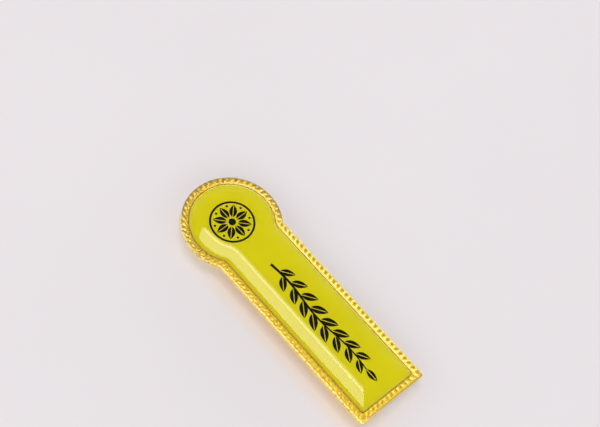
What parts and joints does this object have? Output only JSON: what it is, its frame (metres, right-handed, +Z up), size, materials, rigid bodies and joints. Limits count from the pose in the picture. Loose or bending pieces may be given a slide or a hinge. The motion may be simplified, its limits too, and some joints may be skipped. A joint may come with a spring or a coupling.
{
  "type": "name badge",
  "caption": "Pin-on name badge, round at the head and straight along the bar: a gilt frame with a rope border, a lime insert under a clear resin dome, and a bar pin on the back.",
  "frame": {"origin": "below the middle of the badge, on the surface that its pin rests on", "axes": "+X from the round head along the bar to its square end, +Z up, out of the badge's face"},
  "size_m": [0.075, 0.0266, 0.0058],
  "materials": {
    "gilt_metal": "bright gold plate over cast metal",
    "lime_insert": "smooth printed sheet in lime yellow",
    "clear_resin": "clear glossy casting resin",
    "pin_steel": "nickel-plated steel",
    "black_ink": "black printed ink under the resin"
  },
  "bodies": {
    "root": {"badge_frame": "gilt_metal", "colour_insert": "lime_insert", "resin_dome": "clear_resin", "brooch_pin": "pin_steel"}
  },
  "joints": []
}
